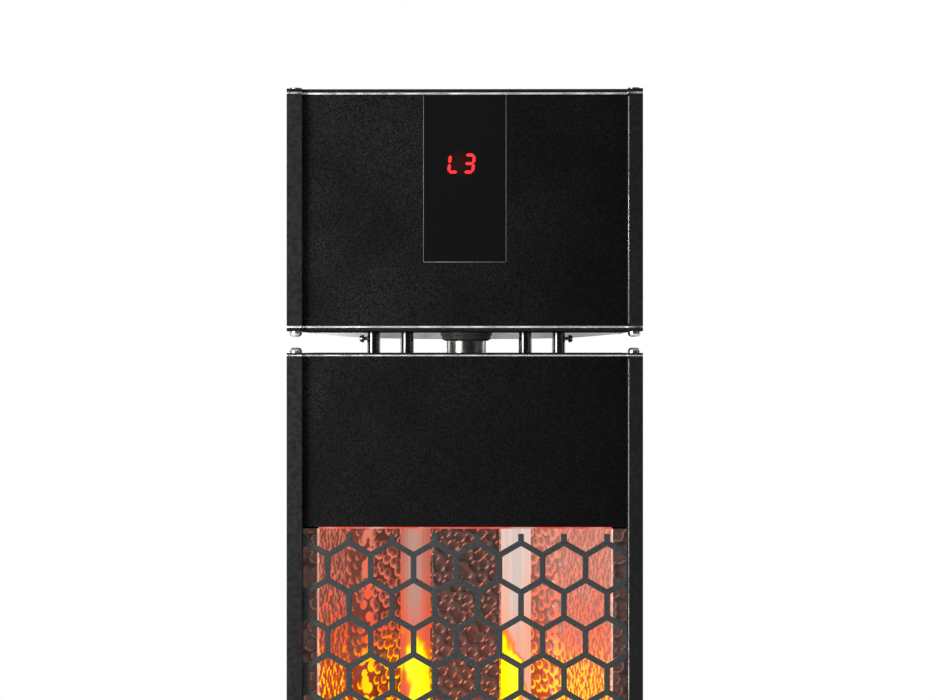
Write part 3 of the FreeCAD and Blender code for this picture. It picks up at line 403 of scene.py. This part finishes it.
# the nodes that have a finish of their own
OWN_FINISHES = {
    "quartz_tube_left": lit_tube("lit_tube_left", -1, lean=2 * MM, flame_top=604 * MM, dim=0.95,
                                 pale=(0.55, 0.29, 0.23), edge=(0.56, 0.16, 0.11),
                                 low_edge=(0.92, 0.12, 0.05)),
    "quartz_tube_right": lit_tube("lit_tube_right", 1, lean=-3 * MM, flame_top=608 * MM, dim=1.0,
                                  pale=(0.72, 0.58, 0.52), edge=(0.80, 0.60, 0.54),
                                  low_edge=(0.95, 0.44, 0.30)),
    "chamber_roof": glowing_edge(),
    "chamber_floor": brushed_metal("chamber_sheet", (0.36, 0.27, 0.22), 0, 0.45),
    "wheel_left": tyre_and_hub("wheel_left"),
    "wheel_right": tyre_and_hub("wheel_right"),
    "conduit_lock_nut": satin_paint("zinc_dark", (0.16, 0.175, 0.165), 0.4),
}
# the front panels get the painted shade that darkens them to the right and downwards
front_coat_painted_falloff = powder_coat("front_powder_painted_falloff", BLACK, FLECK, painted_light_falloff=True)
for node in ("head_front_panel", "front_top_panel", "front_lower_panel"):
    OWN_FINISHES[node] = front_coat_painted_falloff

for part in frame["record"]["subparts"]:
    mesh = nodes[part["node"]].data
    mesh.materials.clear()
    mesh.materials.append(OWN_FINISHES.get(part["node"]) or FINISHES[part["material_slot"]])


# ---------------------------------------------------------------- small shape helpers

def new_piece(name, mesh, material, body="tower", smooth=True):
    """A new object with one material, which rides on a body."""
    piece = bpy.data.objects.new(name, mesh)
    bpy.context.collection.objects.link(piece)
    mesh.materials.append(material)
    if smooth:
        mesh.shade_smooth()
    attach(piece, body)
    return piece


def mesh_from(name, shape, bevel=0.0):
    """The mesh of a bmesh, with all its edges rounded first if a bevel is given."""
    if bevel:
        bmesh.ops.bevel(shape, geom=shape.edges[:], offset=bevel, segments=2, affect="EDGES")
    mesh = bpy.data.meshes.new(name)
    shape.to_mesh(mesh)
    shape.free()
    return mesh


def soften(node, width, segments=2):
    """Round the sharp edges of a CAD node a little, so that they catch light."""
    piece = nodes[node]
    weld = piece.modifiers.new("weld", "WELD")
    weld.merge_threshold = 0.01 * MM
    bevel = piece.modifiers.new("bevel", "BEVEL")
    bevel.width = width
    bevel.segments = segments
    bevel.limit_method = "ANGLE"
    bevel.angle_limit = math.radians(35)
    even = piece.modifiers.new("even", "WEIGHTED_NORMAL")
    even.keep_sharp = False


# ---------------------------------------------------------------- hammered reflectors

STEP = 0.85 * MM                                      # between points of the dented grid
CELL, DENT = 7.8 * MM, 1.3 * MM                       # width and depth of a round dent
FINE_CELL, FINE_DENT = (2.9 * MM, 5.2 * MM), 0.45 * MM
SHARPNESS = 55.0                                      # of the ridges between dents
SHEET = 0.8 * MM
FLANGE_EDGE, WING_FOOT = 106 * MM, 49 * MM            # how far off the middle a wing bends
COLUMN_HALF, COLUMN_DENT = 26 * MM, 0.8 * MM


def bowls(u, v, cell_u, cell_v, seed):
    """0 at the bottom of each round dent, 1 on the ridges between dents."""
    jitter, usual_ridge = 0.34, 0.34
    rng = np.random.default_rng(seed)
    u, v = u / cell_u, v / cell_v
    columns, rows = int(u.max()) + 3, int(v.max()) + 3
    centres = np.stack(np.meshgrid(np.arange(columns), np.arange(rows), indexing="ij"), -1).astype(float)
    centres[..., 0] += (centres[..., 1] % 2) * 0.5
    centres += rng.uniform(-jitter, jitter, centres.shape)
    sizes = rng.uniform(0.8, 1.25, (columns, rows))
    total = np.full(u.shape, 1e-9)
    for step_u in (-1, 0, 1, 2):
        for step_v in (-1, 0, 1, 2):
            i = np.clip(np.floor(u).astype(int) + step_u, 0, columns - 1)
            j = np.clip(np.floor(v).astype(int) + step_v, 0, rows - 1)
            far = ((u - centres[i, j, 0]) ** 2 + (v - centres[i, j, 1]) ** 2) / sizes[i, j] ** 2
            total += np.exp(-SHARPNESS * far)
    return np.clip(-np.log(total) / SHARPNESS / usual_ridge, 0, 1.25)


def smooth(value, low, high):
    """0 below low, 1 above high and an even S between them."""
    share = np.clip((value - low) / (high - low), 0, 1)
    return share * share * (3 - 2 * share)


def between(value, low, high, blend):
    """1 from low to high and 0 outside, with soft ends."""
    return smooth(value, low - blend, low + blend) * (1 - smooth(value, high - blend, high + blend))


def closed_sheet(name, front, back_path):
    """A mesh with a fine front grid and a plain back, closed all round."""
    columns, rows = front.shape[:2]
    index = np.arange(columns * rows).reshape(columns, rows)
    faces = np.stack([index[:-1, :-1], index[1:, :-1], index[1:, 1:], index[:-1, 1:]], -1)
    faces = faces.reshape(-1, 4).tolist()
    low, high = front[0, 0, 2], front[0, -1, 2]
    back = [(x, y, z) for x, y in back_path for z in (low, high)]
    first = columns * rows
    for k in range(columns - 1):
        a, b = first + 2 * k, first + 2 * (k + 1)
        faces.append([a, a + 1, b + 1, b])
        faces.append([int(index[k, 0]), a, b, int(index[k + 1, 0])])
        faces.append([int(index[k + 1, -1]), b + 1, a + 1, int(index[k, -1])])
    last = first + 2 * (columns - 1)
    faces.append([first + 1, first] + index[0].tolist())
    faces.append([last, last + 1] + index[-1, ::-1].tolist())
    mesh = bpy.data.meshes.new(name)
    mesh.from_pydata(front.reshape(-1, 3).tolist() + back, [], faces)
    return mesh


def hammered_sheet(node, path, low, high, seed, material, fire, fine_from=1.0, dent=DENT):
    """A bent sheet whose face follows a path seen from above, dented all over by a hammer.

    Further from the middle than fine_from its dents are fine. fire says how brightly each point shines
    with painted reflected light.
    """
    path = [np.array(point) for point in path]
    lengths = [np.linalg.norm(b - a) for a, b in zip(path, path[1:])]
    across = np.linspace(0, sum(lengths), int(sum(lengths) / STEP) + 1)
    upward = np.linspace(low, high, int((high - low) / STEP) + 1)
    corners = np.cumsum([0] + lengths)
    flat = np.stack([np.interp(across, corners, [p[k] for p in path]) for k in (0, 1)], -1)
    tangent = np.gradient(flat, axis=0)
    tangent /= np.linalg.norm(tangent, axis=1)[:, None]
    normal = np.stack([tangent[:, 1], -tangent[:, 0]], -1)
    u, v = np.meshgrid(across, upward - low, indexing="ij")
    x = np.repeat(flat[:, :1], len(upward), axis=1)
    off = np.abs(x)
    fine = smooth(off, fine_from, fine_from + 4 * MM) * (1 - smooth(off, FLANGE_EDGE, FLANGE_EDGE + MM))
    big = bowls(u, v, CELL, CELL, seed)
    small = bowls(u, v, *FINE_CELL, seed + 50)
    rise = dent * (big - 0.5) * (1 - fine) + FINE_DENT * (small - 0.5) * fine
    rise *= np.clip(np.min([np.abs(u - c) for c in corners], axis=0) / (2 * MM), 0.1, 1)
    rise *= 1 - 0.65 * smooth(off, FLANGE_EDGE - MM, FLANGE_EDGE + MM)
    front = np.empty(u.shape + (3,))
    front[..., :2] = flat[:, None, :] + normal[:, None, :] * rise[..., None]
    front[..., 2] = v + low
    mesh = closed_sheet(f"{node}_hammered", front, flat - normal * (SHEET + DENT / 2))
    slope_u, slope_v = np.gradient(rise, across[1], upward[1] - upward[0])
    steep = np.hypot(slope_u, slope_v) + 1e-6
    level = fire(x, v + low, big, slope_u / steep, slope_v / steep)
    # painted highlight: a bright pale line along the bend at the flange's edge, and a paler flange beyond
    # it
    fold = np.exp(-((off - FLANGE_EDGE + 0.3 * MM) / (0.5 * MM)) ** 2)
    pale = np.maximum(fold, 0.5 * smooth(off, FLANGE_EDGE, FLANGE_EDGE + MM))
    for label, share in (("fire", np.maximum(level, fold)), ("pale", pale)):
        values = np.zeros(len(mesh.vertices))
        values[:share.size] = share.ravel()
        mesh.attributes.new(label, "FLOAT", "POINT").data.foreach_set("value", values)
    sheet = new_piece(f"{node}_hammered", mesh, material)
    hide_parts(node)


def wing_painted_glow(sign, painted_glow_haze, zones):
    """How strongly a wing shines with painted reflected fire: rings near the tube, a bright fold, dusky
    rings, a fine outer part.

    zones are the distances off the middle at which these four begin and end.
    """
    def level(x, z, big, toward_u, toward_v):
        off = np.abs(x)
        ring = (0.3 + 0.7 * smooth(big, 0.22, 0.36)) * (1 - smooth(big, 0.62, 0.8))
        # painted reflection: dent sides that lean towards the tube shine brighter
        lean = 0.5 + 0.5 * (sign * toward_u * 0.8 - toward_v * 0.6)
        near = 0.10 + 1.25 * ring * (0.2 + 0.8 * smooth(lean, 0.15, 0.75))
        fold = 1.1 - 0.9 * smooth(big, 0.55, 0.85)
        dusky = 0.22 + 0.9 * ring * smooth(lean, 0.5, 1.0)
        crinkle = 0.30 + 0.95 * smooth(0.5 + 0.5 * toward_u * sign, 0.25, 0.95) * (0.35 + 0.75 * big)
        glow = np.zeros(x.shape)
        for part, low, high in zip((near, fold, dusky, crinkle), zones, zones[1:]):
            glow += part * between(off, low, high, 1.5 * MM)
        # painted light: stronger lower down, near the flames
        blaze = 1 + 0.45 * (1 - smooth(z, 575 * MM, 620 * MM))
        inside = 1 - smooth(off, FLANGE_EDGE - 0.4 * MM, FLANGE_EDGE + 0.4 * MM)
        # painted highlight on the flange beyond the bend, on dent edges that lean towards the tube
        edge = smooth(big, 0.48, 0.6) * (1 - smooth(big, 0.7, 0.84))
        flange = (0.04 + 0.05 * (1 - big) + 0.24 * edge * smooth(lean, 0.4, 0.9)) * (1 - inside)
        return np.clip((glow * blaze + painted_glow_haze) * inside + flange, 0, 1.4)
    return level


def column_painted_glow(x, z, big, toward_u, toward_v):
    """The column's painted light: short slanting sparks of painted reflected fire, one or two in each
    dent, over a painted shade that is lighter on one side of each dent, darker higher up and darkest in a
    ring near each dent's rim.
    """
    ring = smooth(big, 0.28, 0.38) * (1 - smooth(big, 0.5, 0.62))
    slant = smooth(np.abs(0.75 * toward_u - 0.66 * toward_v), 0.84, 1.0)
    side = smooth(0.5 + 0.35 * (toward_u + toward_v), 0.1, 0.9)
    # painted shade: lighter on one side of each dent and darker higher up
    shade = 0.085 + 0.08 * (1 - smooth(z, 580 * MM, 660 * MM)) + 0.1 * side * smooth(big, 0.05, 0.4)
    # painted shade: a dark ring near the rim of each dent
    painted_rim_shade = smooth(big, 0.56, 0.66) * (1 - 0.7 * smooth(big, 0.72, 0.86))
    return shade * (1 - 0.9 * painted_rim_shade) + 1.2 * ring * slant


def make_wing(side, sign, painted_glow_veil, painted_glow_haze, zones, seed):
    """One side reflector: a flange beside the grille, then a slope back to a foot behind the tube."""
    node = f"reflector_{side}"
    low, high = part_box(node)
    outer = max(abs(low.x), abs(high.x))
    inner = min(abs(low.x), abs(high.x))
    face, back = low.y + DENT, high.y - 1 * MM
    path = [(sign * outer, face), (sign * FLANGE_EDGE, face),
            (sign * WING_FOOT, back), (sign * inner, back)]
    if sign > 0:
        path.reverse()
    hammered_sheet(node, path, low.z, high.z, seed, hammered(f"hammered_{side}", painted_glow_veil),
                   wing_painted_glow(sign, painted_glow_haze, zones), fine_from=zones[3])


def make_column():
    """The reflector between the tubes: a square channel that is open at the back."""
    low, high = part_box("reflector_center")
    face = low.y + DENT
    half = COLUMN_HALF - DENT
    path = [(-half, high.y), (-half, face), (half, face), (half, high.y)]
    metal = hammered("hammered_column", cooler=30 * MM, color=(0.06, 0.052, 0.048), rough=0.42)
    hammered_sheet("reflector_center", path, low.z, high.z, 5, metal, column_painted_glow, dent=COLUMN_DENT)


make_wing("left", -1, painted_glow_veil=0.0, painted_glow_haze=0.0, zones=(0, 68 * MM, 76 * MM, 86 * MM, 200 * MM), seed=10)
make_wing("right", 1, painted_glow_veil=0.16, painted_glow_haze=0.3, zones=(0, 66 * MM, 68 * MM, 70 * MM, 200 * MM), seed=12)
make_column()


# ---------------------------------------------------------------- thin strips for painted highlights on edges

def strips(name, boxes, material, bevel):
    """Thin straight strips, each between two corners, as one softened piece."""
    shape = bmesh.new()
    for low, high in boxes:
        corners = bmesh.ops.create_cube(shape, size=1.0)["verts"]
        for corner in corners:
            corner.co = Vector([(a + b) / 2 + side * (b - a) for a, b, side in zip(low, high, corner.co)])
    new_piece(name, mesh_from(name, shape, bevel), material)


def make_edge_strips():
    """Painted highlights as thin strips: a bright line down the inside of the right-hand posts, and a
    pale rim round the window.
    """
    boxes = []
    inner, width, end_gap = 116.2 * MM, 0.5 * MM, 2 * MM
    # painted highlight: a bright strip on the right-hand posts' inner edge, for light caught there
    for column in ("head_posts", "body_posts"):
        low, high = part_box(column)
        boxes.append(((inner, low.y - 0.05 * MM, low.z + end_gap),
                      (inner + width, low.y + 0.6 * MM, high.z - end_gap)))
    strips("post_highlight_strip", boxes, FINISHES["bright_trim"], 0.12 * MM)
    # painted highlight: a pale grey rim on the window's sides and bottom, for light caught on its edges
    low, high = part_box("display_window")
    rim, front, back = 0.4 * MM, low.y - 0.1 * MM, low.y + 0.4 * MM
    boxes = [((low.x, front, low.z), (low.x + rim, back, high.z)),
             ((high.x - rim, front, low.z), (high.x, back, high.z)),
             ((low.x, front, low.z), (high.x, back, low.z + rim))]
    strips("window_highlight_rim", boxes, satin_paint("window_highlight_rim_grey", (0.16, 0.16, 0.16), 0.3), 0.1 * MM)


make_edge_strips()


# ---------------------------------------------------------------- rear details

def make_rocker_marks():
    """A raised line on the upper end of the power switch and a raised ring on its lower end."""
    low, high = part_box("switch_rocker")
    middle = (low + high) / 2
    face, reach = high.y - 0.45 * MM, 6 * MM
    radius, stroke, thick, points = 1.9 * MM, 0.7 * MM, 0.5 * MM, 32
    shape = bmesh.new()
    for corner in bmesh.ops.create_cube(shape, size=1.0)["verts"]:
        corner.co = Vector((middle.x + corner.co.x * 0.8 * MM, face + corner.co.y * thick,
                            middle.z + reach + corner.co.z * 2 * radius))
    loops = []
    for out, side in ((radius, -1), (radius, 1), (radius - stroke, 1), (radius - stroke, -1)):
        turns = [math.tau * k / points for k in range(points)]
        loops.append([shape.verts.new((middle.x + out * math.cos(turn), face + side * thick / 2,
                                       middle.z - reach + out * math.sin(turn))) for turn in turns])
    for one, other in zip(loops, loops[1:] + loops[:1]):
        for k in range(points):
            shape.faces.new((one[k], one[k - 1], other[k - 1], other[k]))
    bmesh.ops.recalc_face_normals(shape, faces=shape.faces[:])
    white = moulded("mark_white", (0.62, 0.62, 0.60))
    new_piece("rocker_marks", mesh_from("rocker_marks", shape), white, body="rocker", smooth=False)


def make_gland_ribs():
    """Grip ribs round the clamping nut of the cord gland."""
    low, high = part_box("cord_gland")
    middle = (low + high) / 2
    nut_radius, nut_place, ribs = 8.8 * MM, high.y - 13 * MM, 12
    wide, long, deep = 1.5 * MM, 7.5 * MM, 1.2 * MM
    shape = bmesh.new()
    for k in range(ribs):
        turn = math.tau * k / ribs
        for corner in bmesh.ops.create_cube(shape, size=1.0)["verts"]:
            out = nut_radius + corner.co.z * deep
            side = corner.co.x * wide
            corner.co = Vector((middle.x + out * math.cos(turn) - side * math.sin(turn),
                                nut_place + corner.co.y * long,
                                middle.z + out * math.sin(turn) + side * math.cos(turn)))
    new_piece("gland_ribs", mesh_from("gland_ribs", shape, 0.25 * MM), FINISHES["moulded_black"])


make_rocker_marks()
make_gland_ribs()


# ---------------------------------------------------------------- softened CAD edges

for trim in ("head_top_trim", "head_bottom_trim", "body_top_trim"):
    soften(trim, 0.6 * MM, segments=3)
SOFT_EDGES = {
    "head_posts": 0.45, "body_posts": 0.45,
    "head_top_plate": 0.35, "head_bottom_plate": 0.35, "body_bottom_plate": 0.35, "body_top_plate": 0.25,
    "display_window": 0.4, "hex_grille": 0.3,
    "switch_housing": 0.4, "switch_rocker": 0.3, "wheel_brackets": 0.3,
}
for node, width in SOFT_EDGES.items():
    soften(node, width * MM)


# ---------------------------------------------------------------- stage, light and camera

def area_light(name, place, target, size, power):
    """A white rectangle of light at a place, turned to face a target."""
    lamp = bpy.data.lights.new(name, "AREA")
    lamp.shape = "RECTANGLE"
    lamp.size, lamp.size_y = size
    lamp.energy = power
    holder = bpy.data.objects.new(name, lamp)
    bpy.context.collection.objects.link(holder)
    holder.location = place
    holder.rotation_euler = (Vector(target) - Vector(place)).to_track_quat("-Z", "Y").to_euler()


def background(tree, strength):
    white = tree.nodes.new("ShaderNodeBackground")
    white.inputs["Color"].default_value = (1, 1, 1, 1)
    white.inputs["Strength"].default_value = strength
    return white


def choose(tree, when, then, otherwise):
    """One shader for the rays for which a socket says yes, and another for the rest."""
    mixer = tree.nodes.new("ShaderNodeMixShader")
    for socket, source in zip(mixer.inputs, (when, otherwise.outputs[0], then.outputs[0])):
        tree.links.new(source, socket)
    return mixer


def make_world():
    """A pale studio: white behind everything, soft white fill, and a dim room in reflections."""
    world = bpy.data.worlds.new("studio")
    bpy.context.scene.world = world
    world.use_nodes = True
    tree = world.node_tree
    tree.nodes.clear()
    split = tree.nodes.new("ShaderNodeSeparateXYZ")
    tree.links.new(tree.nodes.new("ShaderNodeTexCoord").outputs["Generated"], split.inputs[0])
    lift = tree.nodes.new("ShaderNodeMapRange")
    tree.links.new(split.outputs["Z"], lift.inputs["Value"])
    for socket, value in (("From Min", -0.1), ("From Max", 0.9), ("To Min", 0.015), ("To Max", 0.35)):
        lift.inputs[socket].default_value = value
    room = background(tree, 1.0)
    tree.links.new(lift.outputs["Result"], room.inputs["Strength"])
    ray = tree.nodes.new("ShaderNodeLightPath").outputs
    light = choose(tree, ray["Is Diffuse Ray"], background(tree, 0.75), room)
    seen = choose(tree, ray["Is Camera Ray"], background(tree, 1.0), light)
    tree.links.new(seen.outputs[0], tree.nodes.new("ShaderNodeOutputWorld").inputs["Surface"])


def make_stage():
    """A pale floor, square and almost even."""
    half = 2.4
    mesh = bpy.data.meshes.new("floor")
    corners = [(-half, -half, 0), (half, -half, 0), (half, half, 0), (-half, half, 0)]
    mesh.from_pydata(corners, [], [(0, 1, 2, 3)])
    floor = bpy.data.objects.new("floor", mesh)
    bpy.context.collection.objects.link(floor)
    tone = Shader("floor_pale", (0.82, 0.82, 0.82), 0.6)
    tone.rough(tone.ramp(tone.noise(6.0), 0.3, 0.7, 0.5, 0.7))
    mesh.materials.append(tone.material)


def make_camera():
    """Almost straight ahead, level with the gap, a little to the right of the middle."""
    distance, height, place_x, aim_x = 1.626, 0.8141, 0.0149, 0.0009
    lens = bpy.data.cameras.new("camera")
    lens.sensor_width = 36
    lens.lens = 81.3
    lens.clip_start = 0.01
    camera = bpy.data.objects.new("camera", lens)
    bpy.context.collection.objects.link(camera)
    camera.location = (place_x, -distance, height)
    aim = Vector((aim_x, 0.0, height)) - camera.location
    camera.rotation_euler = aim.to_track_quat("-Z", "Y").to_euler()
    bpy.context.scene.camera = camera


make_world()
make_stage()
make_camera()
body_middle = (0, 0, 0.75)
area_light("key_left", (-0.74, -0.74, 0.84), (0, 0, 0.8), size=(0.5, 0.9), power=16)
area_light("fill_right", (1.9, -1.0, 1.0), body_middle, size=(0.3, 1.4), power=0.8)
area_light("top", (0.0, -0.2, 2.3), body_middle, size=(1.6, 1.2), power=12)
area_light("back_left", (-1.8, 1.3, 1.4), body_middle, size=(0.6, 1.6), power=12)
area_light("back_right", (1.8, 1.3, 1.2), body_middle, size=(0.6, 1.6), power=8)
bpy.context.scene.view_settings.view_transform = "Standard"
